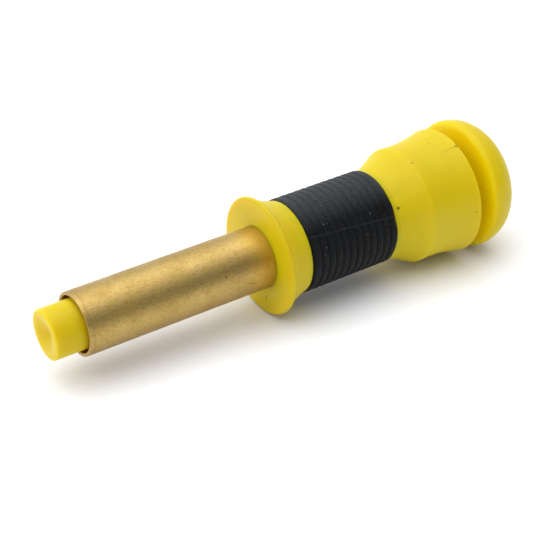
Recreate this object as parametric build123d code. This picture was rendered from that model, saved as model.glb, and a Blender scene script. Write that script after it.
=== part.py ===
"""Tyre plug insertion tool: a brass nose tube in a flanged handle, with a palm-driven plunger.

Frame: millimetres. The tool's axis is X. The origin is the centre of the brass tube's mouth,
-X points out of the nose, +X runs back through the handle to the palm knob, and +Z is up.
Every piece is turned about X, so an outline gives (distance along X, radius).
"""
from build123d import *
import os
from math import atan2, cos, degrees, radians, sin

# ---- nose tube ----
tube_radius = 6.35
tube_wall = 0.7
tube_exposed = 40.6          # mouth to the flange's front face
tube_mouth_round = 0.25
lip_height = 0.9             # rolled rear lip, standing out from the tube
lip_thickness = 1.1
glue_groove_width = 1.2      # adhesive groove around the tube, just inside the flange
glue_groove_depth = 0.2

# ---- handle body: heights are measured up from the surface inside them ----
seat_wall = 1.95             # handle's wall between the tube and the grip
flange_height = 3.85         # flange's rim, up from the grip's seat
flange_front_round = 0.5     # the flange's rim: front face to crest
flange_back_round = 0.45    # and crest to flare
collar_height = 1.2          # where the front flare meets the grip
collar_edge_round = 0.3
front_flare_length = 6.5     # flange face to the grip
shoulder_height = 1.1        # behind the grip
shoulder_length = 0.8
rear_flare_length = 6.3
flare_sag = 0.25             # how far both flares bow in from a straight cone
barrel_front_height = 3.95
barrel_waist_height = 3.85
barrel_rear_height = 4.95
barrel_length = 11.65
barrel_front_round = 1.5     # blends the rear flare into the barrel
barrel_edge_round = 0.4

# ---- grip sleeve ----
grip_length = 20.7
grip_thickness = 1.5
rib_count = 12
end_rib_extra = 0.34         # how much wider the two end ribs are than the others
rib_groove_width = 0.6
rib_groove_depth = 0.32
grip_end_round = 0.4

# ---- plunger, knob and their travel ----
plunger_slack = 0.65         # between the plunger's end and the tube's bore
plunger_protrusion = 6.0     # out of the mouth, as it lies
plunger_edge_round = 0.4
dish_rim_width = 1.4         # flat ring around the dish in the plunger's end
dish_depth = 1.3
dish_edge_round = 2.0
loading_stroke = 24.0        # pull-back that opens the tube's mouth for a plug
knob_gap = 3.6               # barrel to knob, as it lies
closed_gap = 0.4             # what is left of that gap when the knob is home
knob_overhang = 0.45         # knob's rim, out past the barrel's rear
knob_rim_round = 1.1
knob_shoulder_round = 6.5
knob_length = 9.7
hub_wall = 1.8
push_stroke = knob_gap - closed_gap

# ---- piston and its ring ----
piston_start = 20.0
piston_land = 2.0            # piston on each side of the ring's groove
ring_cord = 1.55
ring_side_room = 0.45        # groove is wider than the cord by this

# ---- guide bush, its ring and its wiper ----
bush_rear_setback = 2.7      # bush's rear face, in from the barrel's rear face
circlip_thickness = 1.0
circlip_bite = 0.6           # how far the ring stands into its groove
circlip_width = 1.4
circlip_opening = 50.0       # degrees
circlip_lug_radius = 0.75
circlip_hole_radius = 0.35
wiper_width = 2.0
wiper_depth = 1.2
wiper_setback = 5.0          # wiper's rear face, in from the bush's rear face
relief_depth = 0.35          # bush's bore is opened between its bearing lands
land_length = 5.0

# ---- knob fastening ----
socket_depth = 5.0           # of the knob's socket, from the hub's face
stud_radius = 3.0
stud_in_rod = 11.0
insert_wall = 1.6
insert_length = 4.4
run_out_depth = 0.25         # groove at the stud's middle
run_out_half_width = 1.0
bumper_length = 1.6
bumper_wall = 0.9

# ---- fits, all radial unless they name faces ----
tube_fit = 0.02              # tube in the handle
bush_fit = 0.02              # bush in the handle and in the tube
running_fit = 0.06           # plunger in the bush, and rings on their seats
piston_fit = 0.10            # piston in the tube
grip_fit = 0.02              # sleeve on its seat, bumper on the plunger
thread_fit = 0.02            # stud in the rod and the insert, rod in the knob
face_gap = 0.05              # faces that butt together

# ---- radii, from the tube outwards ----
tube_bore = tube_radius - tube_wall
handle_bore = tube_radius + tube_fit
lip_radius = tube_radius + lip_height
rear_bore = lip_radius + face_gap + bush_fit
seat_radius = tube_radius + seat_wall
collar_radius = seat_radius + collar_height
grip_radius = seat_radius + grip_thickness
shoulder_radius = seat_radius + shoulder_height
flange_radius = seat_radius + flange_height
barrel_front_radius = seat_radius + barrel_front_height
barrel_waist_radius = seat_radius + barrel_waist_height
barrel_rear_radius = seat_radius + barrel_rear_height
knob_radius = barrel_rear_radius + knob_overhang

# ---- radii, from the tube's bore inwards ----
plunger_radius = tube_bore - plunger_slack
dish_radius = plunger_radius - dish_rim_width
piston_radius = tube_bore - piston_fit
ring_outer = tube_bore - running_fit
ring_groove_floor = ring_outer - ring_cord - running_fit
ring_groove_width = ring_cord + ring_side_room
bush_radius = rear_bore - bush_fit
bush_bore = plunger_radius + running_fit
circlip_outer = rear_bore + circlip_bite
circlip_inner = circlip_outer - circlip_width
hub_radius = plunger_radius + hub_wall
insert_radius = stud_radius + insert_wall

# ---- stations along the axis ----
flange_x = tube_exposed
grip_front_x = flange_x + front_flare_length
grip_rear_x = grip_front_x + grip_length
shoulder_x = grip_rear_x + shoulder_length
barrel_front_x = shoulder_x + rear_flare_length
barrel_rear_x = barrel_front_x + barrel_length
knob_front_x = barrel_rear_x + knob_gap
knob_rear_x = knob_front_x + knob_length
plunger_front_x = -plunger_protrusion
tube_rear_x = shoulder_x + lip_thickness
bush_rear_x = barrel_rear_x - bush_rear_setback
piston_rear_x = piston_start + 2 * piston_land + ring_groove_width
bush_front_x = piston_rear_x + loading_stroke + face_gap
bumper_front_x = bush_rear_x + push_stroke + face_gap
hub_front_x = bumper_front_x + bumper_length
rod_rear_x = hub_front_x + socket_depth - face_gap

HANDLE_YELLOW = Color(0.90, 0.77, 0.08)
RUBBER_BLACK = Color(0.06, 0.06, 0.06)
BRASS = Color(0.78, 0.62, 0.33)
STEEL = Color(0.65, 0.66, 0.68)
ACETAL_WHITE = Color(0.88, 0.88, 0.85)
FELT_GREY = Color(0.45, 0.43, 0.40)


def turned(edges, softened=()):
    """Solid of revolution about X from one closed outline; softened lists (corner, radius) to round off."""
    face = make_face(edges)
    for (x, r), radius in softened:
        face = fillet(face.vertices().sort_by_distance((x, r, 0))[0], radius)
    return revolve(face, Axis.X, 360)


def path(*points):
    """Straight edges through (x, radius) points, open at the end."""
    return list(Polyline(*points).edges())


def ring(x0, x1, inner, outer):
    """Plain turned ring, or a disc when inner is 0."""
    return turned(path((x0, inner), (x1, inner), (x1, outer), (x0, outer), (x0, inner)))


def bowed_line(start, end, sag):
    """Arc from start to end that bows towards the axis by sag at its middle."""
    (x0, r0), (x1, r1) = start, end
    length = ((x1 - x0) ** 2 + (r1 - r0) ** 2) ** 0.5
    shift_x = sag * (r1 - r0) / length
    shift_r = -sag * (x1 - x0) / length
    middle = ((x0 + x1) / 2 + shift_x, (r0 + r1) / 2 + shift_r)
    return ThreePointArc(start, middle, end)


def quarter_round(start, end, centre, radius):
    """Rounded corner from start to end about centre."""
    middle_x = (start[0] + end[0]) / 2 - centre[0]
    middle_r = (start[1] + end[1]) / 2 - centre[1]
    scale = radius / (middle_x ** 2 + middle_r ** 2) ** 0.5
    return ThreePointArc(start, (centre[0] + middle_x * scale, centre[1] + middle_r * scale), end)


def torus_ring(x, inner, cord):
    """Rubber ring of round section, its middle plane at x."""
    return Torus(inner + cord / 2, cord / 2, rotation=(0, 90, 0)).translate((x, 0, 0))


def flange_outline():
    """Front face, rounded rim and bowed flare, from the bore out to the grip's seat."""
    crest_x = flange_x + flange_front_round
    crest = (crest_x, flange_radius)
    front = (flange_x, flange_radius - flange_front_round)
    back = (crest_x + flange_back_round, flange_radius - flange_back_round)
    collar = (grip_front_x, collar_radius)
    return [
        Line((flange_x, handle_bore), front),
        quarter_round(front, crest, (crest_x, front[1]), flange_front_round),
        quarter_round(crest, back, (crest_x, back[1]), flange_back_round),
        bowed_line(back, collar, flare_sag),
        Line(collar, (grip_front_x, seat_radius)),
    ]


def barrel_outline():
    """Shoulder, bowed rear flare and waisted barrel, from the grip's seat to the rear bore."""
    shoulder = (shoulder_x, shoulder_radius)
    edge = (barrel_front_x, barrel_front_radius)
    rear_top = (barrel_rear_x - barrel_edge_round, barrel_rear_radius)
    rear_face = (barrel_rear_x, barrel_rear_radius - barrel_edge_round)
    waist = (barrel_front_x + 0.33 * barrel_length, barrel_waist_radius)
    centre = (rear_top[0], rear_face[1])
    return [
        Line((grip_rear_x, seat_radius), (grip_rear_x, shoulder_radius)),
        Line((grip_rear_x, shoulder_radius), shoulder),
        bowed_line(shoulder, edge, flare_sag),
        ThreePointArc(edge, waist, rear_top),
        quarter_round(rear_top, rear_face, centre, barrel_edge_round),
        Line(rear_face, (barrel_rear_x, rear_bore)),
    ]


def bore_outline():
    """Rear bore with the circlip's groove, the lip's seat and the tube's bore, back to front."""
    groove_front = bush_rear_x + face_gap / 2
    groove_rear = groove_front + circlip_thickness + face_gap
    groove_radius = circlip_outer + face_gap
    lip_seat = tube_rear_x - lip_thickness - face_gap
    return path(
        (barrel_rear_x, rear_bore), (groove_rear, rear_bore),
        (groove_rear, groove_radius), (groove_front, groove_radius),
        (groove_front, rear_bore), (lip_seat, rear_bore),
        (lip_seat, handle_bore), (flange_x, handle_bore),
    )


def make_handle_body():
    seat = Line((grip_front_x, seat_radius), (grip_rear_x, seat_radius))
    softened = [
        ((grip_front_x, collar_radius), collar_edge_round),
        ((barrel_front_x, barrel_front_radius), barrel_front_round),
    ]
    return turned(flange_outline() + [seat] + barrel_outline() + bore_outline(), softened)


def make_grip_sleeve():
    """Sleeve with broad flat ribs: narrow V grooves at an even pitch, rounded at both ends."""
    inner = seat_radius + grip_fit
    front = grip_front_x + face_gap
    rear = grip_rear_x - face_gap
    points = [(rear, inner), (front, inner), (front, grip_radius - grip_end_round)]
    points.append((front + grip_end_round, grip_radius))
    pitch = (rear - front - 2 * end_rib_extra) / rib_count
    for groove in range(1, rib_count):
        x = front + end_rib_extra + groove * pitch
        points.append((x - rib_groove_width / 2, grip_radius))
        points.append((x, grip_radius - rib_groove_depth))
        points.append((x + rib_groove_width / 2, grip_radius))
    points.append((rear - grip_end_round, grip_radius))
    points.append((rear, grip_radius - grip_end_round))
    points.append((rear, inner))
    return turned(path(*points))


def make_brass_tube():
    """Thin tube with a rounded mouth, an adhesive groove and a rolled lip at its rear end."""
    lip_front = tube_rear_x - lip_thickness
    inner_mouth = (0, tube_bore + tube_mouth_round)
    outer_mouth = (0, tube_radius - tube_mouth_round)
    groove_rear = flange_x + glue_groove_width
    groove_radius = tube_radius - glue_groove_depth
    outer_start = (tube_mouth_round, tube_radius)
    inner_start = (tube_mouth_round, tube_bore)
    edges = [
        Line(inner_mouth, outer_mouth),
        quarter_round(outer_mouth, outer_start, (tube_mouth_round, outer_mouth[1]), tube_mouth_round),
    ]
    edges += path(
        outer_start, (flange_x, tube_radius), (flange_x, groove_radius), (groove_rear, groove_radius),
        (groove_rear, tube_radius), (lip_front, tube_radius), (lip_front, lip_radius),
        (tube_rear_x, lip_radius), (tube_rear_x, tube_bore), inner_start,
    )
    edges.append(
        quarter_round(inner_start, inner_mouth, (tube_mouth_round, inner_mouth[1]), tube_mouth_round)
    )
    return turned(edges)


def make_guide_bush():
    """Stepped bush: a nose inside the tube, a body behind it, two bearing lands and a wiper groove."""
    nose_radius = tube_bore - bush_fit
    body_front = tube_rear_x + face_gap
    wiper_rear = bush_rear_x - wiper_setback
    wiper_front = wiper_rear - wiper_width - 2 * face_gap
    relief_radius = bush_bore + relief_depth
    groove_radius = bush_bore + wiper_depth + face_gap
    relief_rear = wiper_front - land_length
    return turned(path(
        (bush_front_x, bush_bore), (bush_front_x, nose_radius), (body_front, nose_radius),
        (body_front, bush_radius), (bush_rear_x, bush_radius), (bush_rear_x, bush_bore),
        (wiper_rear, bush_bore), (wiper_rear, groove_radius), (wiper_front, groove_radius),
        (wiper_front, bush_bore), (relief_rear, bush_bore), (relief_rear, relief_radius),
        (bush_front_x + land_length, relief_radius), (bush_front_x + land_length, bush_bore),
        (bush_front_x, bush_bore),
    ))


def make_felt_wiper():
    rear = bush_rear_x - wiper_setback - face_gap
    return ring(rear - wiper_width, rear, bush_bore, bush_bore + wiper_depth)


def make_bush_circlip():
    """Internal retaining ring: open at the bottom, with a lug and a plier hole at each end."""
    x0 = bush_rear_x + face_gap
    x1 = x0 + circlip_thickness
    clip = ring(x0, x1, circlip_inner, circlip_outer)
    half = radians(circlip_opening / 2)
    reach = 2 * circlip_outer
    corners = [(0, 0), (-reach * sin(half), -reach * cos(half)), (reach * sin(half), -reach * cos(half))]
    wedge = extrude(Plane.YZ.offset(x0) * Polygon(*corners, align=None), circlip_thickness)
    clip = clip - wedge
    lug_offset = circlip_outer - circlip_lug_radius - 0.3
    for side in (-1, 1):
        angle = side * (half + 0.09)
        spot = (lug_offset * sin(angle), -lug_offset * cos(angle))
        lug = Plane.YZ.offset(x0) * Pos(*spot) * Circle(circlip_lug_radius)
        hole = Plane.YZ.offset(x0) * Pos(*spot) * Circle(circlip_hole_radius)
        clip = clip + extrude(lug, circlip_thickness) - extrude(hole, circlip_thickness)
    return clip


def make_plunger_rod():
    """One plastic rod: dished end, piston with its ring groove, plain shank and a blind rear hole."""
    nose = plunger_front_x
    dish = (nose + dish_depth, 0)
    dish_rim = (nose, dish_radius)
    face_edge = (nose, plunger_radius - plunger_edge_round)
    side_start = (nose + plunger_edge_round, plunger_radius)
    groove_front = piston_start + piston_land
    groove_rear = groove_front + ring_groove_width
    hole_radius = stud_radius + thread_fit
    hole_front = rod_rear_x - stud_in_rod - face_gap
    edges = [
        Line(dish, dish_rim),
        Line(dish_rim, face_edge),
        quarter_round(face_edge, side_start, (side_start[0], face_edge[1]), plunger_edge_round),
    ]
    edges += path(
        side_start, (piston_start, plunger_radius), (piston_start, piston_radius),
        (groove_front, piston_radius), (groove_front, ring_groove_floor),
        (groove_rear, ring_groove_floor), (groove_rear, piston_radius),
        (piston_rear_x, piston_radius), (piston_rear_x, plunger_radius),
        (rod_rear_x, plunger_radius), (rod_rear_x, hole_radius), (hole_front, hole_radius),
        (hole_front - hole_radius / 2, 0), dish,
    )
    return turned(edges, [(dish_rim, dish_edge_round)])


def make_piston_ring():
    return torus_ring(piston_start + piston_land + ring_groove_width / 2, ring_groove_floor + running_fit, ring_cord)


def make_bumper_ring():
    inner = plunger_radius + grip_fit
    return ring(bumper_front_x, hub_front_x, inner, inner + bumper_wall)


def dome_outline(rim_top):
    """Shoulder arc that leaves the rim along X, then the crown arc tangent to it."""
    length = knob_rear_x - rim_top[0]
    shoulder_r = knob_radius - knob_shoulder_round
    crown = (length ** 2 + shoulder_r ** 2 - knob_shoulder_round ** 2) / (2 * (length - knob_shoulder_round))
    turn = degrees(atan2(shoulder_r, crown - length))
    shoulder = CenterArc((rim_top[0], shoulder_r), knob_shoulder_round, 90, turn - 90)
    return [shoulder, CenterArc((knob_rear_x - crown, 0), crown, turn, -turn)]


def make_palm_knob():
    """Domed knob with a short hub, a socket for the rod and a pocket for the threaded insert."""
    socket_radius = plunger_radius + thread_fit
    socket_floor = hub_front_x + socket_depth
    pocket_radius = insert_radius + thread_fit
    pocket_floor = socket_floor + insert_length + face_gap
    rim_front = (knob_front_x, knob_radius - knob_rim_round)
    rim_top = (knob_front_x + knob_rim_round, knob_radius)
    edges = [
        Line((hub_front_x, socket_radius), (hub_front_x, hub_radius)),
        Line((hub_front_x, hub_radius), (knob_front_x, hub_radius)),
        Line((knob_front_x, hub_radius), rim_front),
        quarter_round(rim_front, rim_top, (rim_top[0], rim_front[1]), knob_rim_round),
    ]
    edges += dome_outline(rim_top)
    edges += path(
        (knob_rear_x, 0), (pocket_floor, 0), (pocket_floor, pocket_radius), (socket_floor, pocket_radius),
        (socket_floor, socket_radius), (hub_front_x, socket_radius),
    )
    return turned(edges)


def make_knob_insert():
    """Brass insert moulded into the knob; its thread is left as a plain bore."""
    front = hub_front_x + socket_depth
    rear = front + insert_length
    return ring(front, rear, stud_radius + thread_fit, insert_radius)


def make_knob_stud():
    """Stud with a run-out groove where the rod ends and the knob begins."""
    front = rod_rear_x - stud_in_rod
    rear = hub_front_x + socket_depth + insert_length - 4 * face_gap
    waist = stud_radius - run_out_depth
    waist_front = rod_rear_x - run_out_half_width
    waist_rear = rod_rear_x + run_out_half_width
    return turned(path(
        (front, 0), (rear, 0), (rear, stud_radius), (waist_rear, stud_radius),
        (waist_rear, waist), (waist_front, waist), (waist_front, stud_radius),
        (front, stud_radius), (front, 0),
    ))


PIECES = {
    "handle_body": (make_handle_body, HANDLE_YELLOW),
    "grip_sleeve": (make_grip_sleeve, RUBBER_BLACK),
    "brass_tube": (make_brass_tube, BRASS),
    "guide_bush": (make_guide_bush, ACETAL_WHITE),
    "felt_wiper": (make_felt_wiper, FELT_GREY),
    "bush_circlip": (make_bush_circlip, STEEL),
    "plunger_rod": (make_plunger_rod, HANDLE_YELLOW),
    "piston_ring": (make_piston_ring, RUBBER_BLACK),
    "bumper_ring": (make_bumper_ring, RUBBER_BLACK),
    "palm_knob": (make_palm_knob, HANDLE_YELLOW),
    "knob_insert": (make_knob_insert, BRASS),
    "knob_stud": (make_knob_stud, STEEL),
}


def export_pieces():
    os.makedirs("parts", exist_ok=True)
    for name, (make, colour) in PIECES.items():
        solid = make()
        solid.label = name
        solid.color = colour
        export_step(solid, "parts/" + name + ".step")
        box = solid.bounding_box()
        print(f"{name:14s} volume {solid.volume:9.1f} mm3  x {box.min.X:7.2f} to {box.max.X:7.2f}"
              f"  radius {box.max.Y:6.2f}  solids {len(solid.solids())}")


export_pieces()
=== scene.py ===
# %% [markdown]
# # A tyre plug insertion tool
# The tool is a brass tube in a yellow moulded handle with a black ribbed rubber grip. A yellow
# plunger runs through it, and pushing the round knob at the back drives a plug out of the tube.
# The CAD model gives every piece its shape and place. This lesson adds what the CAD model leaves
# out: finishes with the right grain and marks, a grip shaped like real moulded rubber, and the
# light and camera of a small product studio.

from math import asin, cos, pi, radians, sin

import bmesh
import bpy
from mathutils import Matrix, Vector


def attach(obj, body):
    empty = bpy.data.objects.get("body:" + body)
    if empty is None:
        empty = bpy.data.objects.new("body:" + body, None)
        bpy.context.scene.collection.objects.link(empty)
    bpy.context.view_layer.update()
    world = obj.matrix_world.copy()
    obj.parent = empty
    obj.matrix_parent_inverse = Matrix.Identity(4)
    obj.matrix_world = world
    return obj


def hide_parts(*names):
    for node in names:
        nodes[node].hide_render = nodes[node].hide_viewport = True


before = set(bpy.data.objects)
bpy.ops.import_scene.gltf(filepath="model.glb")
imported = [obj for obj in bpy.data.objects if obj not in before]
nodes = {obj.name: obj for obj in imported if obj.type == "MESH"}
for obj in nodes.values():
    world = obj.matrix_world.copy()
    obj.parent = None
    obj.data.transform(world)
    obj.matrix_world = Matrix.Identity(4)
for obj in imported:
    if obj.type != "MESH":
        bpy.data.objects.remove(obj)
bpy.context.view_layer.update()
MM = 0.001
print("CAD pieces:", ", ".join(sorted(nodes)))

# %% [markdown]
# ## How the tool lies
# The real tool lies on a table and touches it at two round rims: the flange in front and the
# larger knob behind. Its axis is therefore not level. The CAD model keeps the axis level because
# that is easier to measure from, so here the table is tilted by the same small angle instead.
# The sine of that angle is the difference of the two rims' radii over the distance between them.

# %% Find the table's plane
FLANGE_RIM_X, FLANGE_RIM_RADIUS = 41.1 * MM, 12.15 * MM
KNOB_RIM_X, KNOB_RIM_RADIUS = 91.25 * MM, 13.7 * MM

table_tilt = asin((KNOB_RIM_RADIUS - FLANGE_RIM_RADIUS) / (KNOB_RIM_X - FLANGE_RIM_X))
table_up = Vector((sin(table_tilt), 0, cos(table_tilt)))
table_point = Vector((FLANGE_RIM_X, 0, 0)) - table_up * FLANGE_RIM_RADIUS
print("table tilt in degrees:", round(table_tilt * 180 / pi, 3))

# %% [markdown]
# ## Camera
# A long lens from about 30 cm keeps the perspective gentle, as in a catalogue picture. The camera
# looks down at the nose end of the tool. Its picture is level with the table and not with the CAD
# axes, so the camera's three directions are worked out from the table's upward direction.

# %% Place the camera
LENS_MM, SENSOR_WIDTH_MM = 97.5, 36
NEAREST_SEEN = 10 * MM
CAMERA_PLACE = Vector((-93.54, -211.18, 150.49)) * MM
CAMERA_AIM = Vector((42.57, -2.67, -3.61)) * MM

camera = bpy.data.objects.new("camera", bpy.data.cameras.new("camera"))
bpy.context.scene.collection.objects.link(camera)
camera.data.lens = LENS_MM
camera.data.sensor_width = SENSOR_WIDTH_MM
camera.data.clip_start = NEAREST_SEEN
forward = (CAMERA_AIM - CAMERA_PLACE).normalized()
right = forward.cross(table_up).normalized()
up = right.cross(forward)
turn = Matrix((right, up, -forward)).transposed()
camera.matrix_world = Matrix.Translation(CAMERA_PLACE) @ turn.to_4x4()
bpy.context.scene.camera = camera
print("camera to subject in mm:", round((CAMERA_AIM - CAMERA_PLACE).length / MM, 1))

# %% [markdown]
# ## Helpers for finishes
# A finish is a network of nodes. Writing each node by hand takes several lines, so a few small
# helpers shorten that. The first adds any node with its settings, and the other three add the
# kinds that come up most: a sum, a change of range and a mix of two colours.

# %% Node helpers
def add(tree, kind, settings=None, **inputs):
    """Add a node of this kind. settings are its own properties and inputs its socket values."""
    node = tree.nodes.new(kind)
    for name, value in (settings or {}).items():
        setattr(node, name, value)
    for name, value in inputs.items():
        socket = node.inputs[name.replace("_", " ")]
        if isinstance(value, bpy.types.NodeSocket):
            tree.links.new(value, socket)
        else:
            socket.default_value = value
    return node


def math(tree, operation, a, b=0.0):
    """One Math node, its two values plain numbers or other nodes' outputs."""
    node = tree.nodes.new("ShaderNodeMath")
    node.operation = operation
    for socket, value in zip(node.inputs, (a, b)):
        if isinstance(value, bpy.types.NodeSocket):
            tree.links.new(value, socket)
        else:
            socket.default_value = value
    return node.outputs[0]


def spread(tree, value, low, high, to_low=0.0, to_high=1.0):
    """Map Range: low to high becomes to_low to to_high, and it stays inside them."""
    node = tree.nodes.new("ShaderNodeMapRange")
    tree.links.new(value, node.inputs["Value"])
    ends = {"From Min": low, "From Max": high, "To Min": to_low, "To Max": to_high}
    for name, number in ends.items():
        node.inputs[name].default_value = number
    return node.outputs["Result"]


def blend_colours(tree, share, first, second):
    """Mix two colours. share and the colours are outputs or plain values."""
    node = tree.nodes.new("ShaderNodeMix")
    node.data_type = "RGBA"
    for number, value in ((0, share), (6, first), (7, second)):
        if isinstance(value, bpy.types.NodeSocket):
            tree.links.new(value, node.inputs[number])
        else:
            node.inputs[number].default_value = value
    return node.outputs[2]


# %% [markdown]
# Every finish starts in the same way, with an empty shader. An effect that several finishes
# share is kept in a node group, which also starts in a fixed way. Two more helpers make what
# nearly every finish ends with: a gloss that isn't even, and a surface that isn't quite smooth.
# Patterns read Object coordinates, which are the CAD model's own metres, so a pattern's scale is
# a real size: a noise of scale 1000 has bumps about a millimetre across.

# %% Starting a material or a group
def start_material(name):
    """A new material with an empty Principled shader, and its Object coordinates."""
    material = bpy.data.materials.new(name)
    material.use_nodes = True
    tree = material.node_tree
    tree.nodes.clear()
    shader = tree.nodes.new("ShaderNodeBsdfPrincipled")
    output = tree.nodes.new("ShaderNodeOutputMaterial")
    tree.links.new(shader.outputs["BSDF"], output.inputs["Surface"])
    place = tree.nodes.new("ShaderNodeTexCoord").outputs["Object"]
    return material, tree, shader, place


def start_group(name, inputs, outputs):
    """A node group with these float inputs and outputs, and a Vector input called Place."""
    tree = bpy.data.node_groups.new(name, "ShaderNodeTree")
    tree.interface.new_socket("Place", in_out="INPUT", socket_type="NodeSocketVector")
    for socket_name, value in inputs.items():
        socket = tree.interface.new_socket(
            socket_name, in_out="INPUT", socket_type="NodeSocketFloat"
        )
        socket.default_value = value
    for socket_name in outputs:
        tree.interface.new_socket(socket_name, in_out="OUTPUT", socket_type="NodeSocketFloat")
    given = tree.nodes.new("NodeGroupInput").outputs
    result = tree.nodes.new("NodeGroupOutput").inputs
    return tree, given, result


def use_group(tree, group, place, **values):
    """Put a group in a material with its own values, and give its outputs."""
    node = tree.nodes.new("ShaderNodeGroup")
    node.node_tree = group
    tree.links.new(place, node.inputs["Place"])
    for name, value in values.items():
        node.inputs[name.replace("_", " ")].default_value = value
    return node.outputs


def patchy_gloss(tree, patches, low, high, grain, grain_share):
    """A roughness from low to high over the patches, and rougher where the grain is high."""
    patchy = spread(tree, patches, 0, 1, low, high)
    return math(tree, "ADD", patchy, math(tree, "MULTIPLY", grain, grain_share))


def raise_surface(tree, shader, height, strength, distance):
    """Make the surface look raised by height. distance is what a height of 1 stands for."""
    bump = add(tree, "ShaderNodeBump", Strength=strength, Distance=distance, Height=height)
    tree.links.new(bump.outputs["Normal"], shader.inputs["Normal"])


# %% [markdown]
# A used tool has marks in particular places: a nick, a scratch, a grain of dust. Noise can't
# put them there, so each is a small ball at its own place on the surface. Distance from the
# ball's middle makes a mask, and a row of balls makes a scratch. The last two helpers say how
# far along the tool a point is and how far from its axis, for whatever follows its round shape.

# %% Marks and places on the tool
FULL_SHARE = 0.6     # the share of a mark's reach that has its full strength
SCRATCH_FADE = 0.6   # how much weaker a scratch is at its end


def mark(tree, place, middle, reach):
    """A mask that is 1 near middle and fades to 0 at reach. Both are in millimetres."""
    away = add(tree, "ShaderNodeVectorMath", {"operation": "DISTANCE"})
    tree.links.new(place, away.inputs[0])
    away.inputs[1].default_value = Vector(middle) * MM
    return spread(tree, away.outputs["Value"], reach * MM, reach * FULL_SHARE * MM)


def marks(tree, place, listed):
    """Several marks in one mask. Each is listed as x, y, z, reach and strength."""
    mask = 0.0
    for *middle, reach, strength in listed:
        one = math(tree, "MULTIPLY", mark(tree, place, middle, reach), strength)
        mask = math(tree, "MAXIMUM", mask, one)
    return mask


def scratch(start, end, count, reach, strength):
    """A scratch: marks listed in a row from start to end, weaker towards the end."""
    start, end = Vector(start), Vector(end)
    shares = [number / (count - 1) for number in range(count)]
    return tuple(
        (*start.lerp(end, share), reach, strength * (1 - SCRATCH_FADE * share)) for share in shares
    )


def along_tool(tree, place):
    """How far along the tool a point is, in metres from the tube's mouth."""
    return add(tree, "ShaderNodeSeparateXYZ", Vector=place).outputs["X"]


def from_axis(tree, place):
    """How far from the tool's axis a point is, in metres."""
    parts = add(tree, "ShaderNodeSeparateXYZ", Vector=place).outputs
    side = math(tree, "MULTIPLY", parts["Y"], parts["Y"])
    height = math(tree, "MULTIPLY", parts["Z"], parts["Z"])
    return math(tree, "SQRT", math(tree, "ADD", side, height))


# %% [markdown]
# ## Three effects that several finishes share
# Each is a node group: built once, then placed in each finish with its own numbers.
# **Specks** are dirt in moulded plastic, dust on rubber and pits in brass. A Voronoi texture
# divides space into cells. A point near a cell's middle is in a speck, and each cell's random
# colour decides if it has one and how big, so specks are sparse and uneven.

# %% The specks group
specks_group, given, result = start_group(
    "Specks", {"Cells Per Metre": 400, "Share": 0.2, "Radius": 0.1}, ["Mask"]
)
cells = add(
    specks_group, "ShaderNodeTexVoronoi", Vector=given["Place"], Scale=given["Cells Per Metre"]
)
cell_values = add(specks_group, "ShaderNodeSeparateColor", Color=cells.outputs["Color"])
radius_here = math(specks_group, "MULTIPLY", given["Radius"], cell_values.outputs["Green"])
inside = math(specks_group, "SUBTRACT", radius_here, cells.outputs["Distance"])
soft_edge = math(specks_group, "MULTIPLY", given["Radius"], 0.25)
disc = math(specks_group, "DIVIDE", inside, soft_edge)
chosen = math(specks_group, "LESS_THAN", cell_values.outputs["Red"], given["Share"])
clear = specks_group.nodes.new("ShaderNodeClamp")
specks_group.links.new(math(specks_group, "MULTIPLY", disc, chosen), clear.inputs["Value"])
specks_group.links.new(clear.outputs["Result"], result["Mask"])

# %% [markdown]
# **Grain** is the fine unevenness that breaks up a highlight. Its coordinates can be stretched
# along the tool, which turns grains into drawn lines, or squeezed, which turns them into the
# rings that a lathe leaves.

# %% The grain group
grain_group, given, result = start_group(
    "Grain", {"Grains Per Metre": 2000, "Stretch": 1}, ["Height"]
)
along = math(grain_group, "DIVIDE", 1.0, given["Stretch"])
stretch = add(grain_group, "ShaderNodeCombineXYZ", X=along, Y=1, Z=1)
stretched = add(grain_group, "ShaderNodeVectorMath", {"operation": "MULTIPLY"})
grain_group.links.new(given["Place"], stretched.inputs[0])
grain_group.links.new(stretch.outputs["Vector"], stretched.inputs[1])
grains = add(
    grain_group, "ShaderNodeTexNoise", Vector=stretched.outputs["Vector"],
    Scale=given["Grains Per Metre"], Detail=4, Roughness=0.6,
)
grain_group.links.new(grains.outputs["Fac"], result["Height"])

# %% [markdown]
# **Handling** is the broad patchiness that fingers leave in a gloss: a noise with large patches,
# its middle values spread out so that most places are either clearly handled or clearly not.

# %% The handling group
handling_group, given, result = start_group("Handling", {"Patches Per Metre": 90}, ["Patches"])
patches = add(
    handling_group, "ShaderNodeTexNoise", Vector=given["Place"],
    Scale=given["Patches Per Metre"], Detail=3, Roughness=0.55, Distortion=0.4,
)
clearer = spread(handling_group, patches.outputs["Fac"], 0.32, 0.68)
handling_group.links.new(clearer, result["Patches"])
print("shared effects:", ", ".join(group.name for group in bpy.data.node_groups))
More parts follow.
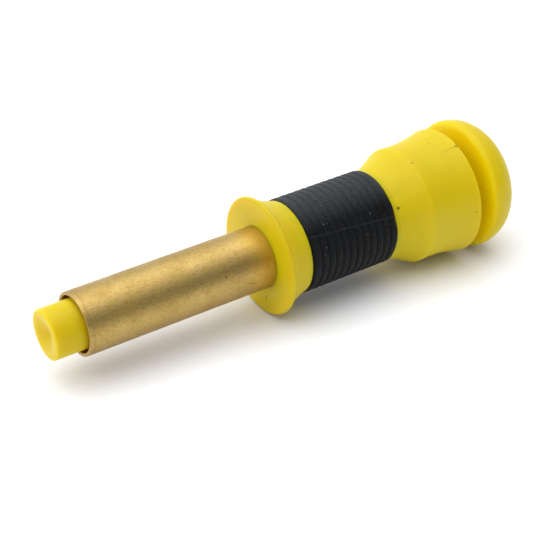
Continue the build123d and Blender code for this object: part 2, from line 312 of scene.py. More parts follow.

# %% [markdown]
# ## Yellow plastic
# The handle, plunger and knob are moulded in a soft yellow plastic. It is satin rather than
# glossy, and light travels a little way into it, so gaps glow orange instead of going black.
# Subsurface scattering does that: red light travels furthest, green less, blue hardly at all.
# In the deepest gaps a glow is also painted into the colour.
# The colour varies very slightly, there are a few dark specks from the moulding machine, fine
# grain softens the highlights, and painted shade darkens the flange's rim to dim its highlight.
# The three pieces are made by one function, so that they match.

# %% Yellow plastic finish
YELLOW = (0.64, 0.505, 0.0015, 1)
YELLOW_DEEP = (0.605, 0.462, 0.001, 1)
YELLOW_PAINTED_GLOW = (0.87, 0.69, 0.0002, 1)
DISH_PAINTED_GLOW = (0.66, 0.43, 0.0005, 1)
SPECK_BROWN = (0.10, 0.07, 0.01, 1)
RIM_PAINTED_SHADE = (0.50, 0.39, 0.004, 1)
RIM_SHADE_FADE_OUTWARDS = (11.45 * MM, 11.9 * MM)
RIM_SHADE_FADE_FORWARDS = (42.5 * MM, 41.5 * MM)
RIM_SHADE_STRENGTH, SPECK_STRENGTH = 0.9, 0.2
DENT_DEPTH = 1.5                    # of a full dent, when the grain's height is 1
PLASTIC_SHINE, LIGHT_GOING_IN = 0.22, 0.8
LIGHT_TRAVEL = (1.0, 0.55, 0.05)    # red, green and blue, as shares of the depth
LIGHT_DEPTH = 4 * MM
GLOSS_PATCHES, GLOSS_GRAIN = 0.05, 0.08


def make_yellow_plastic(name, roughness, share_of_specks, dents, painted_glow_mask, painted_glow_colour):
    """Yellow plastic with its own dents. The last two arguments mask and colour a painted glow."""
    material, tree, shader, place = start_material(name)
    patches = use_group(tree, handling_group, place, Patches_Per_Metre=60)["Patches"]
    specks = use_group(
        tree, specks_group, place, Cells_Per_Metre=420, Share=share_of_specks, Radius=0.065
    )["Mask"]
    grain = use_group(tree, grain_group, place, Grains_Per_Metre=2600, Stretch=1)["Height"]
    worn = marks(tree, place, dents)
    shade = blend_colours(tree, patches, YELLOW, YELLOW_DEEP)
    # painted shade: the flange's rim is darkened to dim the highlight its round edge catches
    outwards = spread(tree, from_axis(tree, place), *RIM_SHADE_FADE_OUTWARDS)
    forwards = spread(tree, along_tool(tree, place), *RIM_SHADE_FADE_FORWARDS)
    flange_edge = math(tree, "MULTIPLY", outwards, forwards)
    rim_painted_shade = math(tree, "MULTIPLY", flange_edge, RIM_SHADE_STRENGTH)
    shade = blend_colours(tree, rim_painted_shade, shade, RIM_PAINTED_SHADE)
    # painted glow: a brighter or more orange colour in gaps and hollows stands in for bounced light
    shade = blend_colours(tree, painted_glow_mask(tree, place), shade, painted_glow_colour)
    dark = math(tree, "MAXIMUM", math(tree, "MULTIPLY", specks, SPECK_STRENGTH), worn)
    tree.links.new(blend_colours(tree, dark, shade, SPECK_BROWN), shader.inputs["Base Color"])
    lowest, highest = roughness - GLOSS_PATCHES, roughness + GLOSS_PATCHES
    uneven = patchy_gloss(tree, patches, lowest, highest, grain, GLOSS_GRAIN)
    tree.links.new(uneven, shader.inputs["Roughness"])
    height = math(tree, "SUBTRACT", grain, math(tree, "MULTIPLY", worn, DENT_DEPTH))
    raise_surface(tree, shader, height, 0.4, 0.06 * MM)
    shader.inputs["Specular IOR Level"].default_value = PLASTIC_SHINE
    shader.inputs["Subsurface Weight"].default_value = LIGHT_GOING_IN
    shader.inputs["Subsurface Radius"].default_value = LIGHT_TRAVEL
    shader.inputs["Subsurface Scale"].default_value = LIGHT_DEPTH
    return material


def give(node_name, material):
    """Replace the CAD node's plain material by this one."""
    nodes[node_name].data.materials.clear()
    nodes[node_name].data.materials.append(material)
    print(f"{node_name}: {material.name}")


# %% [markdown]
# The three pieces have been knocked in different places. Each dent is listed with its place and
# reach in millimetres and its strength. The handle's rear edge has a nick with a thin trace
# running forward from it, and its flange has a short scratch near the tube.

# %% Dents in the plastic
HANDLE_DENTS = (
    (68.88, -8.04, 5.03, 0.38, 0.9), (75.31, -4.15, 11.48, 0.34, 0.5),
    (75.9, -3.6, 11.7, 0.22, 0.3), (85.19, -12.98, 0.90, 0.30, 0.4),
    (82.40, -0.75, 12.45, 0.26, 0.4), (86.1, -4.86, 12.31, 0.42, 0.7),
    *scratch((86.0, -4.8, 12.3), (82.6, -4.4, 11.7), 12, 0.22, 0.35),
    *scratch((40.6, -2.40, -7.9), (40.6, -2.15, -9.1), 6, 0.26, 0.7),
    (40.6, 3.86, 7.96, 0.34, 0.3), (41.0, -7.10, 9.98, 0.22, 0.4),
    (40.6, -9.19, 4.95, 0.20, 0.4), (40.6, -9.9, 0.4, 0.18, 0.3),
    (40.6, -7.6, -5.2, 0.18, 0.35), (40.6, -4.9, -8.7, 0.20, 0.3),
)
PLUNGER_DENTS = (
    (-6.0, -2.9, -3.1, 0.26, 0.35), (-3.2, -5.2, 1.9, 0.18, 0.25),
    (-1.4, -5.5, -0.6, 0.20, 0.3),
)
KNOB_DENTS = (
    (93.5, -12.9, 4.1, 0.24, 0.25), (96.8, -8.0, 6.0, 0.20, 0.25),
    (94.9, -9.9, -7.6, 0.22, 0.25),
)
print("dents:", len(HANDLE_DENTS + PLUNGER_DENTS + KNOB_DENTS))

# %% [markdown]
# In the gap before the knob, deep in the plunger's end and on the plunger just inside the tube,
# light bounces about and the plastic glows. That glow is painted into the colour here: a brighter
# yellow in the gap and a more orange one on the plunger. Each piece has a function that masks
# its painted glow. A pair of numbers says where a fade begins and where it is complete.

# %% Where the glow is painted
# fades of the painted glow, along the tool or out from its axis
HANDLE_END_FADE = (86.2 * MM, 86.9 * MM)
PLUNGER_END_FADE, DISH_FADE = (-3.5 * MM, -4.4 * MM), (3.6 * MM, 0.2 * MM)
IN_TUBE_FADE, IN_TUBE_GLOW_STRENGTH = (-1.6 * MM, 0.4 * MM), 0.9
KNOB_FRONT_FADE, KNOB_RIM_FADE = (91.4 * MM, 90.3 * MM), (13.6 * MM, 12.4 * MM)


def rear_gap_painted_glow(tree, place):
    """The handle's rear end, which the knob shades, painted with a brighter glow."""
    return spread(tree, along_tool(tree, place), *HANDLE_END_FADE)


def dish_painted_glow(tree, place):
    """The middle of the plunger's end and the part the tube shades, painted with an orange glow."""
    along = along_tool(tree, place)
    at_end = spread(tree, along, *PLUNGER_END_FADE)
    middle = math(tree, "MULTIPLY", at_end, spread(tree, from_axis(tree, place), *DISH_FADE))
    in_tube_painted_glow = spread(tree, along, *IN_TUBE_FADE, 0.0, IN_TUBE_GLOW_STRENGTH)
    return math(tree, "MAXIMUM", middle, in_tube_painted_glow)


def front_gap_painted_glow(tree, place):
    """The knob's hub and the inner part of its front face, behind the handle: a painted glow."""
    before_rim = spread(tree, along_tool(tree, place), *KNOB_FRONT_FADE)
    inside_rim = spread(tree, from_axis(tree, place), *KNOB_RIM_FADE)
    return math(tree, "MULTIPLY", before_rim, inside_rim)


give("handle_body", make_yellow_plastic(
    "handle yellow plastic", 0.42, 0.16, HANDLE_DENTS, rear_gap_painted_glow, YELLOW_PAINTED_GLOW
))
give("plunger_rod", make_yellow_plastic(
    "plunger yellow plastic", 0.40, 0.05, PLUNGER_DENTS, dish_painted_glow, DISH_PAINTED_GLOW
))
give("palm_knob", make_yellow_plastic(
    "knob yellow plastic", 0.38, 0.05, KNOB_DENTS, front_gap_painted_glow, YELLOW_PAINTED_GLOW
))

# %% [markdown]
# ## Brass tube
# The nose is a piece of drawn brass tube that has been wiped with an abrasive cloth and then
# handled for years. Brass is a metal, so its colour is the colour of its reflections. What makes
# it look real is that the reflections are uneven: fine lines run along the tube, the gloss comes
# and goes in patches, brown tarnish sits in tiny pits, and there are a few darker stains. Next
# to the handle the metal is warmer in colour, and a thin line runs round its mouth.

# %% Brass finish
BRASS = (0.515, 0.365, 0.128, 1)
BRASS_TARNISHED = (0.42, 0.28, 0.075, 1)
BRASS_DARK = (0.27, 0.17, 0.045, 1)
BRASS_WARM = (0.60, 0.385, 0.055, 1)
PIT_BROWN = (0.12, 0.07, 0.025, 1)
BRASS_ROUGHNESS = (0.34, 0.45)
BRASS_DARK_GRAIN = (0.50, 0.72)    # the grain's heights at which darkening starts and is full
TARNISH_STRENGTH, DARK_GRAIN_STRENGTH, WARM_STRENGTH = 0.7, 0.75, 0.8
PIT_STRENGTH, MOUTH_LINE_STRENGTH = 0.24, 0.2
LINE_HEIGHT, GRAIN_HEIGHT, PIT_DEPTH = 0.5, 1.1, 0.8
NEAR_HANDLE_FADE = (33 * MM, 40.5 * MM)
MOUTH_LINE_START, MOUTH_LINE_END = (0.85 * MM, 0.95 * MM), (1.18 * MM, 1.08 * MM)
TUBE_STAINS = (
    (29.49, -5.93, 2.25, 0.26, 0.8), (28.0, -5.7, 2.7, 0.18, 0.4), (36.6, -6.3, 0.4, 0.16, 0.4),
    *scratch((34.4, -6.28, -0.8), (35.9, -6.25, -1.0), 8, 0.16, 0.6),
    (22.1, -4.4, 4.5, 0.18, 0.4), (39.4, -5.6, 2.9, 0.22, 0.4), (17.4, -6.2, 1.2, 0.16, 0.3),
    (38.2, -6.3, -0.8, 0.20, 0.5), (38.4, -6.2, -1.3, 0.16, 0.4),
)


def make_brass(name):
    """Drawn brass tube with fine lines, grain, pits, stains and worn gloss."""
    material, tree, shader, place = start_material(name)
    patches = use_group(tree, handling_group, place, Patches_Per_Metre=160)["Patches"]
    lines = use_group(tree, grain_group, place, Grains_Per_Metre=5200, Stretch=14)["Height"]
    grain = use_group(tree, grain_group, place, Grains_Per_Metre=3600, Stretch=2.0)["Height"]
    pits = use_group(
        tree, specks_group, place, Cells_Per_Metre=1500, Share=0.35, Radius=0.34
    )["Mask"]
    stains = marks(tree, place, TUBE_STAINS)
    along = along_tool(tree, place)
    # the colour turns warmer over the last few millimetres before the handle
    near_handle = spread(tree, along, *NEAR_HANDLE_FADE)
    line_start = spread(tree, along, *MOUTH_LINE_START)
    mouth_line = math(tree, "MULTIPLY", line_start, spread(tree, along, *MOUTH_LINE_END))
    tarnish = math(tree, "MULTIPLY", patches, TARNISH_STRENGTH)
    shade = blend_colours(tree, tarnish, BRASS, BRASS_TARNISHED)
    dark_grain = spread(tree, grain, *BRASS_DARK_GRAIN, 0.0, DARK_GRAIN_STRENGTH)
    grainy = blend_colours(tree, dark_grain, shade, BRASS_DARK)
    warmth = math(tree, "MULTIPLY", near_handle, WARM_STRENGTH)
    warm = blend_colours(tree, warmth, grainy, BRASS_WARM)
    dark = math(tree, "MAXIMUM", math(tree, "MULTIPLY", pits, PIT_STRENGTH), stains)
    dark = math(tree, "MAXIMUM", dark, math(tree, "MULTIPLY", mouth_line, MOUTH_LINE_STRENGTH))
    tree.links.new(blend_colours(tree, dark, warm, PIT_BROWN), shader.inputs["Base Color"])
    uneven = patchy_gloss(tree, patches, *BRASS_ROUGHNESS, lines, 0.10)
    dull = math(tree, "ADD", uneven, math(tree, "MULTIPLY", dark, 0.3))
    tree.links.new(dull, shader.inputs["Roughness"])
    coarse = math(tree, "MULTIPLY", grain, GRAIN_HEIGHT)
    height = math(tree, "ADD", math(tree, "MULTIPLY", lines, LINE_HEIGHT), coarse)
    sunk = math(tree, "SUBTRACT", height, math(tree, "MULTIPLY", dark, PIT_DEPTH))
    raise_surface(tree, shader, sunk, 0.7, 0.07 * MM)
    shader.inputs["Metallic"].default_value = 1.0
    return material


give("brass_tube", make_brass("drawn brass"))

# %% [markdown]
# ## Black rubber
# Moulded rubber is nearly black but not quite, and its low sheen shows as grey where the light
# skims it. Dust clings to it: a few pale specks stand out. The tops of the ribs and the mould line
# are greyed by a fine dust haze together with painted sheen, a bluish grey that stands in for
# light skimming the upper side. The grip, the plunger's ring and the bumper are all rubber, and
# one function makes the three finishes with different amounts of dust.

# %% Rubber finish
RUBBER_BLACK = (0.0010, 0.0014, 0.0019, 1)
RUBBER_GREY = (0.0025, 0.0036, 0.0050, 1)
DUST = (0.42, 0.42, 0.41, 1)
HAZE_AND_PAINTED_SHEEN = (0.040, 0.045, 0.049, 1)
GRIP_DUST = (
    (51.28, -6.99, 6.86, 0.15, 0.5), (52.32, -6.87, 6.67, 0.14, 0.35),
    (50.34, -9.27, 3.11, 0.16, 0.4), (49.81, -9.65, 1.67, 0.15, 0.35),
    (62.17, -7.67, 5.96, 0.20, 0.6), (60.15, -9.41, 2.69, 0.13, 0.3),
    (55.4, -8.2, 5.3, 0.14, 0.3), (48.9, -9.6, -1.8, 0.24, 0.5),
    (58.4, -9.6, -2.0, 0.13, 0.25), (49.2, -9.7, 0.1, 0.12, 0.25),
    (64.2, -4.6, 8.6, 0.12, 0.3), (53.1, -3.9, 9.0, 0.13, 0.4),
)
UPPER_SIDE_FADE = (6.4 * MM, 10 * MM)    # height over the axis at which the dust haze and painted sheen begin
SEAM_START, SEAM_TURN = 1.048, -9.15     # radians above the -Y side, and radians per metre
SEAM_FADE = (0.016, 0.006)               # radians from the mould line
RUBBER_ROUGHNESS = (0.42, 0.54)
RUBBER_SHINE, RUBBER_SHEEN, SHEEN_ROUGHNESS = 0.14, 0.05, 0.35
SHEEN_TINT = (0.80, 0.92, 1.0, 1)
FINE_DUST_STRENGTH, SEAM_HAZE_AND_SHEEN_STRENGTH = 0.2, 0.4
HAZE_AND_SHEEN_THINNEST, HAZE_AND_SHEEN_THICKEST = 0.5, 1.3


def around_axis(tree, place):
    """The angle round the axis above the -Y side, with the sleeve's twist taken out."""
    parts = add(tree, "ShaderNodeSeparateXYZ", Vector=place).outputs
    angle = math(tree, "ARCTAN2", parts["Z"], math(tree, "MULTIPLY", parts["Y"], -1.0))
    return math(tree, "SUBTRACT", angle, math(tree, "MULTIPLY", parts["X"], SEAM_TURN))


def make_rubber(name, share_of_dust, dust_places=(), haze_and_sheen_amount=0.0):
    """Black rubber. The last argument sets dust haze and painted sheen on what faces up as it lies.
    """
    material, tree, shader, place = start_material(name)
    patches = use_group(tree, handling_group, place, Patches_Per_Metre=220)["Patches"]
    grain = use_group(tree, grain_group, place, Grains_Per_Metre=2600, Stretch=1)["Height"]
    fine_dust = use_group(
        tree, specks_group, place, Cells_Per_Metre=700, Share=share_of_dust, Radius=0.12
    )["Mask"]
    fine_dust = math(tree, "MULTIPLY", fine_dust, FINE_DUST_STRENGTH)
    dust = math(tree, "MAXIMUM", fine_dust, marks(tree, place, dust_places))
    # dust haze and painted sheen: the upper side is greyed, standing in part for light skimming it
    height_over_axis = add(tree, "ShaderNodeSeparateXYZ", Vector=place).outputs["Z"]
    upper_side = math(tree, "POWER", spread(tree, height_over_axis, *UPPER_SIDE_FADE), 1.3)
    thickness = spread(tree, grain, 0.35, 0.65, HAZE_AND_SHEEN_THINNEST * haze_and_sheen_amount, HAZE_AND_SHEEN_THICKEST * haze_and_sheen_amount)
    haze_and_sheen = math(tree, "MULTIPLY", upper_side, thickness)
    shade = blend_colours(tree, patches, RUBBER_BLACK, RUBBER_GREY)
    shade = blend_colours(tree, haze_and_sheen, shade, HAZE_AND_PAINTED_SHEEN)
    # the mould line is paled with the same dust haze and painted sheen colour
    off_seam = math(tree, "SUBTRACT", around_axis(tree, place), SEAM_START)
    off_seam = math(tree, "ABSOLUTE", off_seam)
    seam = spread(tree, off_seam, *SEAM_FADE, 0.0, SEAM_HAZE_AND_SHEEN_STRENGTH * haze_and_sheen_amount)
    shade = blend_colours(tree, seam, shade, HAZE_AND_PAINTED_SHEEN)
    tree.links.new(blend_colours(tree, dust, shade, DUST), shader.inputs["Base Color"])
    uneven = patchy_gloss(tree, patches, *RUBBER_ROUGHNESS, grain, 0.1)
    tree.links.new(uneven, shader.inputs["Roughness"])
    height = math(tree, "ADD", grain, math(tree, "MULTIPLY", dust, 0.6))
    raise_surface(tree, shader, height, 1.0, 0.28 * MM)
    shader.inputs["Specular IOR Level"].default_value = RUBBER_SHINE
    shader.inputs["Sheen Weight"].default_value = RUBBER_SHEEN
    shader.inputs["Sheen Roughness"].default_value = SHEEN_ROUGHNESS
    shader.inputs["Sheen Tint"].default_value = SHEEN_TINT
    return material


grip_rubber = make_rubber("grip rubber", 0.25, GRIP_DUST, haze_and_sheen_amount=1.0)
give("piston_ring", make_rubber("piston ring rubber", 0.02))
give("bumper_ring", make_rubber("bumper rubber", 0.06))

# %% [markdown]
# ## Inner pieces
# These show only when the tool is taken apart or seen from an odd angle, but they are real
# pieces and get real finishes: a white guide bush with turning marks, a felt wiper full of
# fibres, a spring steel ring, a plated stud and a small brass insert.

# %% Finishes of the inner pieces
def make_machined(name, bright, dull, metallic, roughness, stretch):
    """A turned or plated surface: two shades, tool marks and a patchy gloss."""
    material, tree, shader, place = start_material(name)
    patches = use_group(tree, handling_group, place, Patches_Per_Metre=200)["Patches"]
    tool_marks = use_group(
        tree, grain_group, place, Grains_Per_Metre=3000, Stretch=stretch
    )["Height"]
    specks = use_group(
        tree, specks_group, place, Cells_Per_Metre=500, Share=0.1, Radius=0.1
    )["Mask"]
    shade = blend_colours(tree, patches, bright, dull)
    dirty = blend_colours(tree, math(tree, "MULTIPLY", specks, 0.5), shade, PIT_BROWN)
    tree.links.new(dirty, shader.inputs["Base Color"])
    uneven = patchy_gloss(tree, patches, roughness - 0.06, roughness + 0.06, tool_marks, 0.1)
    tree.links.new(uneven, shader.inputs["Roughness"])
    raise_surface(tree, shader, tool_marks, 0.4, 0.04 * MM)
    shader.inputs["Metallic"].default_value = metallic
    return material


FELT_DARK, FELT_LIGHT = (0.16, 0.15, 0.13, 1), (0.28, 0.26, 0.23, 1)
FIBRE_PALE = (0.40, 0.38, 0.34, 1)


def make_felt(name):
    """Grey felt: loose pale fibres over a patchy ground."""
    material, tree, shader, place = start_material(name)
    fibres = use_group(tree, grain_group, place, Grains_Per_Metre=6000, Stretch=0.4)["Height"]
    patches = use_group(tree, handling_group, place, Patches_Per_Metre=500)["Patches"]
    shade = blend_colours(tree, patches, FELT_DARK, FELT_LIGHT)
    loose = blend_colours(tree, spread(tree, fibres, 0.5, 0.75), shade, FIBRE_PALE)
    tree.links.new(loose, shader.inputs["Base Color"])
    tree.links.new(spread(tree, fibres, 0.2, 0.8, 0.85, 1.0), shader.inputs["Roughness"])
    raise_surface(tree, shader, fibres, 0.9, 0.2 * MM)
    shader.inputs["Sheen Weight"].default_value = 0.5
    return material


BUSH_WHITE, BUSH_CREAM = (0.80, 0.79, 0.75, 1), (0.70, 0.68, 0.62, 1)
SPRING_BRIGHT, SPRING_DULL = (0.42, 0.42, 0.43, 1), (0.25, 0.25, 0.27, 1)
PLATED_BRIGHT, PLATED_DULL = (0.60, 0.60, 0.62, 1), (0.46, 0.46, 0.48, 1)
INSERT_BRIGHT, INSERT_DULL = (0.78, 0.58, 0.28, 1), (0.66, 0.44, 0.18, 1)

for node_name, *finish in (
    ("guide_bush", "white bush plastic", BUSH_WHITE, BUSH_CREAM, 0, 0.42, 0.3),
    ("bush_circlip", "spring steel", SPRING_BRIGHT, SPRING_DULL, 1, 0.34, 1),
    ("knob_stud", "plated steel", PLATED_BRIGHT, PLATED_DULL, 1, 0.28, 0.3),
    ("knob_insert", "insert brass", INSERT_BRIGHT, INSERT_DULL, 1, 0.32, 0.3),
):
    give(node_name, make_machined(*finish))
give("felt_wiper", make_felt("grey felt"))

# %% [markdown]
# ## The grip's shape
# The grip is a rubber sleeve with twelve flat ribs. The CAD model gives it sharp grooves and a
# perfect roundness. Real rubber comes out of a two-part mould: rib edges are soft, a thin line
# runs along it where the mould halves met, the halves don't quite line up, and the rear edge
# is trimmed a little unevenly. It could be sculpted, but a lathe way is quicker and cleaner:
# draw half a section as a line, round its corners, spin it round the axis, and then spoil it
# slightly in the places where the mould did.

# %% Draw the section
GRIP_FRONT, GRIP_REAR = 47.15 * MM, 67.75 * MM
GRIP_SEAT_RADIUS, GRIP_RADIUS = 8.32 * MM, 9.8 * MM
RIB_COUNT, RIB_PITCH = 12, 1.66 * MM
GROOVE_HALF_WIDTH, GROOVE_DEPTH = 0.40 * MM, 0.36 * MM
END_CHAMFER = 0.35 * MM

end_rib = (GRIP_REAR - GRIP_FRONT - (RIB_COUNT - 2) * RIB_PITCH) / 2
section = [(GRIP_FRONT, GRIP_SEAT_RADIUS), (GRIP_FRONT, GRIP_RADIUS - END_CHAMFER)]
section.append((GRIP_FRONT + END_CHAMFER, GRIP_RADIUS))
for groove in range(RIB_COUNT - 1):
    middle = GRIP_FRONT + end_rib + groove * RIB_PITCH
    section.append((middle - GROOVE_HALF_WIDTH, GRIP_RADIUS))
    section.append((middle, GRIP_RADIUS - GROOVE_DEPTH))
    section.append((middle + GROOVE_HALF_WIDTH, GRIP_RADIUS))
section.append((GRIP_REAR - END_CHAMFER, GRIP_RADIUS))
section.append((GRIP_REAR, GRIP_RADIUS - END_CHAMFER))
section.append((GRIP_REAR, GRIP_SEAT_RADIUS))


def start_outline(name, x, radius):
    """One vertex at this place: a plane merged to its middle and then moved there."""
    bpy.ops.object.select_all(action="DESELECT")
    bpy.ops.mesh.primitive_plane_add(size=MM, location=(0, 0, 0))
    piece = bpy.context.active_object
    piece.name = piece.data.name = name
    bpy.ops.object.mode_set(mode="EDIT")
    bpy.ops.mesh.select_mode(type="VERT")
    bpy.ops.mesh.select_all(action="SELECT")
    bpy.ops.mesh.merge(type="CENTER")
    bpy.ops.transform.translate(value=(x, 0, radius))
    return piece


def draw_outline(name, points):
    """Extrude one vertex from point to point, and close the line at the start."""
    piece = start_outline(name, *points[0])
    here = points[0]
    for point in points[1:] + points[:1]:
        step = (point[0] - here[0], 0, point[1] - here[1])
        bpy.ops.mesh.extrude_region_move(TRANSFORM_OT_translate={"value": step})
        here = point
    bpy.ops.mesh.select_all(action="SELECT")
    bpy.ops.mesh.remove_doubles(threshold=0.001 * MM)
    return piece


grip = draw_outline("grip_rubber_sleeve", section)
print("points in the grip's section:", len(section))
print("width of an end rib in mm:", round(end_rib / MM, 2))

# %% [markdown]
# Rubber has no sharp corners. A vertex bevel turns each corner of the line into a short curve,
# which costs little here because the section is still only a line.

# %% Round the section's corners
CORNER_ROUND = 0.22 * MM
OFF_SEAT = 0.1 * MM    # further out than the bore, so that its corners stay sharp


def select_where(piece, wanted):
    """Select only the vertices for which wanted(place) is true, and count them."""
    bpy.ops.mesh.select_all(action="DESELECT")
    shape = bmesh.from_edit_mesh(piece.data)
    count = 0
    for vertex in shape.verts:
        vertex.select_set(wanted(vertex.co))
        count += vertex.select
    shape.select_flush_mode()
    bmesh.update_edit_mesh(piece.data)
    return count


rounded = select_where(grip, lambda place: place.z > GRIP_SEAT_RADIUS + OFF_SEAT)
bpy.ops.mesh.bevel(offset=CORNER_ROUND, segments=3, affect="VERTICES")
print("corners rounded:", rounded)

# %% [markdown]
# Spin copies the line round the axis and joins the copies with faces. A full turn ends where
# it began, so the doubled line is merged. Then the normals are made to point outwards.

# %% Spin the section into a sleeve
STEPS_ROUND = 240

bpy.ops.mesh.select_all(action="SELECT")
bpy.ops.mesh.spin(steps=STEPS_ROUND, angle=2 * pi, center=(0, 0, 0), axis=(1, 0, 0))
bpy.ops.mesh.select_all(action="SELECT")
bpy.ops.mesh.remove_doubles(threshold=0.002 * MM)
bpy.ops.mesh.normals_make_consistent(inside=False)
print("grip faces:", len(bmesh.from_edit_mesh(grip.data).faces))

# %% [markdown]
# The mould's halves met along two lines on opposite sides. One half came out a hair further
# back than the other, and a thin fin of rubber was squeezed into the joint. The first is a
# move of all the points on one side, and the second pushes out one row of points on each line.

# %% Mould line
MOULD_LINE_ANGLE = radians(58.6)    # above the -Y side; the twist below brings it down to 30
HALF_SHIFT = 0.03 * MM
FIN_HEIGHT = 0.07 * MM
OFF_BORE = 0.3 * MM

toward_line = Vector((0, -cos(MOULD_LINE_ANGLE), sin(MOULD_LINE_ANGLE)))
across_line = Vector((0, sin(MOULD_LINE_ANGLE), cos(MOULD_LINE_ANGLE)))
row_half_width = 1.1 * pi * GRIP_RADIUS / STEPS_ROUND    # holds one row of points
upper = select_where(grip, lambda place: place.dot(across_line) > row_half_width)
bpy.ops.transform.translate(value=(-HALF_SHIFT, 0, 0))
for side in (1, -1):
    fin = select_where(
        grip,
        lambda place: abs(place.dot(across_line)) < row_half_width
        and place.dot(toward_line) * side > GRIP_SEAT_RADIUS + OFF_BORE,
    )
    bpy.ops.transform.translate(value=toward_line * side * FIN_HEIGHT)
print("points moved in the upper half:", upper, " in each fin:", fin)

# %% [markdown]
# The rear edge was trimmed by hand. Proportional editing moves a chosen point and drags its
# neighbours along by less and less, which gives the soft unevenness of cut rubber.

# %% Uneven rear edge
# each is the angle above the -Y side in degrees, and the depth and reach in millimetres
TRIM_CUTS = (
    (55, 0.22, 2.2), (91, 0.10, 3.0), (15, 0.16, 2.6), (183, 0.14, 3.0), (248, 0.2, 2.5),
)
CUT_WIDTH, EDGE_WIDTH = 0.6 * MM, 0.4 * MM

for angle, depth, reach in TRIM_CUTS:
    toward_cut = Vector((0, -cos(radians(angle)), sin(radians(angle))))
    cut = Vector((GRIP_REAR, 0, 0)) + toward_cut * GRIP_RADIUS
    select_where(
        grip,
        lambda place: (place - cut).length < CUT_WIDTH and place.x > GRIP_REAR - EDGE_WIDTH,
    )
    bpy.ops.transform.translate(
        value=(-depth * MM, 0, 0), use_proportional_edit=True,
        proportional_edit_falloff="SMOOTH", proportional_size=reach * MM,
    )
bpy.ops.object.mode_set(mode="OBJECT")
print("cuts in the rear edge:", len(TRIM_CUTS))

# %% [markdown]
# Last come two modifiers. The sleeve was twisted a little when it was pushed on, which shows in
# the slant of its mould line, and Simple Deform does that. It turns a point further the further
# along the axis that point is, so it also turns the whole sleeve, and the mould line above began
# that much too high. Displace reads a cloud texture and moves the surface by a few hundredths
# of a millimetre, enough to make the grooves waver.

# %% Slight twist and waviness, then the finish
TWIST = radians(10.2)
WAVE_HEIGHT, WAVE_LENGTH = 0.09 * MM, 3.5 * MM
SHARPEST_SMOOTHED = radians(40)

twist = grip.modifiers.new("twist", "SIMPLE_DEFORM")
twist.deform_method = "TWIST"
twist.deform_axis = "X"
twist.angle = TWIST
bpy.ops.object.modifier_apply(modifier=twist.name)

waves = bpy.data.textures.new("rubber waves", "CLOUDS")
waves.noise_scale = WAVE_LENGTH
waver = grip.modifiers.new("waves", "DISPLACE")
waver.texture = waves
waver.texture_coords = "LOCAL"
waver.strength = WAVE_HEIGHT
waver.mid_level = 0.5
bpy.ops.object.modifier_apply(modifier=waver.name)
bpy.ops.object.shade_smooth_by_angle(angle=SHARPEST_SMOOTHED)
grip.data.materials.append(grip_rubber)
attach(grip, "frame")
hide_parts("grip_sleeve")
print("grip box in mm:", [round(side / MM, 2) for side in grip.dimensions])

# %% [markdown]
# ## Table
# A catalogue picture has a white table that runs out of the picture on all sides and throws
# light back up under the tool. Such a picture is exposed until the table is quite white, which
# leaves only the shadow near the tool. A faint glow that sets in a little way from the tool
# does the same here, and doesn't change the light on the tool much.

# %% White table
TABLE_SIZE = 6.0
PAPER_WHITE, PAPER_SHADE = (0.93, 0.93, 0.93, 1), (0.90, 0.90, 0.90, 1)
GLOW_COLOUR, GLOW_STRENGTH = (0.84, 0.92, 1.0, 1), 0.17
GLOW_FADE = (6 * MM, 34 * MM)

bpy.ops.object.select_all(action="DESELECT")
bpy.ops.mesh.primitive_plane_add(size=TABLE_SIZE, location=table_point, rotation=(0, table_tilt, 0))
table = bpy.context.active_object
table.name = "table"
table_white, tree, shader, place = start_material("table white")
paper = use_group(tree, grain_group, place, Grains_Per_Metre=400, Stretch=1)["Height"]
tree.links.new(blend_colours(tree, paper, PAPER_WHITE, PAPER_SHADE), shader.inputs["Base Color"])
shader.inputs["Roughness"].default_value = 0.8
shader.inputs["Specular IOR Level"].default_value = 0.2
across = add(tree, "ShaderNodeSeparateXYZ", Vector=place).outputs["Y"]
glow = spread(tree, math(tree, "ABSOLUTE", across), *GLOW_FADE, 0.0, GLOW_STRENGTH)
tree.links.new(glow, shader.inputs["Emission Strength"])
shader.inputs["Emission Color"].default_value = GLOW_COLOUR
table.data.materials.append(table_white)
print("table:", TABLE_SIZE, "m square")

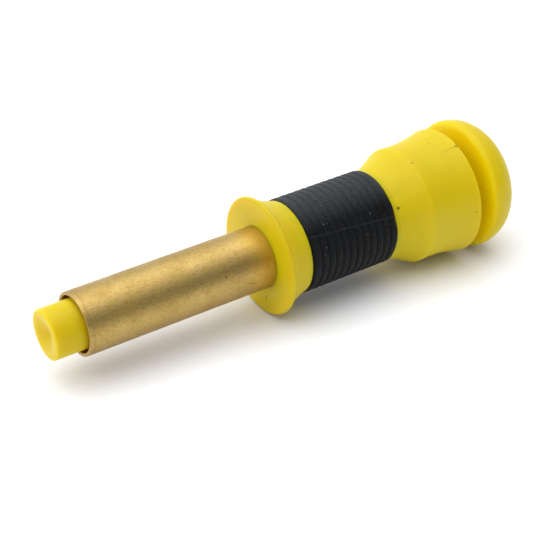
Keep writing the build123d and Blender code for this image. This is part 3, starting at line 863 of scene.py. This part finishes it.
# %% [markdown]
# ## Light
# One large soft light hangs over the tool, a little behind it and toward its nose. Because the
# light is wider than the tool is long, highlights are broad and shadows have soft edges.

# %% Overhead light
SOFTBOX_PLACE, SOFTBOX_AIM = Vector((-0.10, 0.10, 0.85)), Vector((0.05, 0, 0))
SOFTBOX_WIDTH = 1.5
SOFTBOX_WATTS = 9.7

softbox = bpy.data.lights.new("overhead softbox", "AREA")
softbox.shape = "RECTANGLE"
softbox.size = softbox.size_y = SOFTBOX_WIDTH
softbox.energy = SOFTBOX_WATTS
lamp = bpy.data.objects.new("overhead softbox", softbox)
bpy.context.scene.collection.objects.link(lamp)
lamp.location = SOFTBOX_PLACE
lamp.rotation_euler = (SOFTBOX_AIM - SOFTBOX_PLACE).to_track_quat("-Z", "Y").to_euler()
print(f"overhead softbox: {SOFTBOX_WATTS} W, {SOFTBOX_WIDTH} m square")

# %% [markdown]
# A polished tube shows its surroundings. The dark stripe along the brass is a reflection of
# something dim in front of the tool, so the surroundings are a gradient: bright behind the
# tool and above it, dim in front of it and below.

# %% Surroundings
BRIGHT_SIDE = (-0.25, 0.75, 0.6)    # behind the tool, above it and a little to the nose's side
BRIGHT_FADE = (-0.5, 0.6)
AROUND_DIM, AROUND_BRIGHT = (0.14, 0.145, 0.155, 1), (0.98, 0.99, 1.03, 1)

world = bpy.data.worlds.new("studio")
world.use_nodes = True
bpy.context.scene.world = world
tree = world.node_tree
tree.nodes.clear()
facing = add(tree, "ShaderNodeVectorMath", {"operation": "DOT_PRODUCT"})
tree.links.new(tree.nodes.new("ShaderNodeTexCoord").outputs["Generated"], facing.inputs[0])
facing.inputs[1].default_value = BRIGHT_SIDE
toward_bright = spread(tree, facing.outputs["Value"], *BRIGHT_FADE)
surround = blend_colours(tree, toward_bright, AROUND_DIM, AROUND_BRIGHT)
background = add(tree, "ShaderNodeBackground", Color=surround)
world_output = tree.nodes.new("ShaderNodeOutputWorld")
tree.links.new(background.outputs["Background"], world_output.inputs["Surface"])
bpy.context.scene.view_settings.view_transform = "Standard"
print("surroundings: world", world.name)
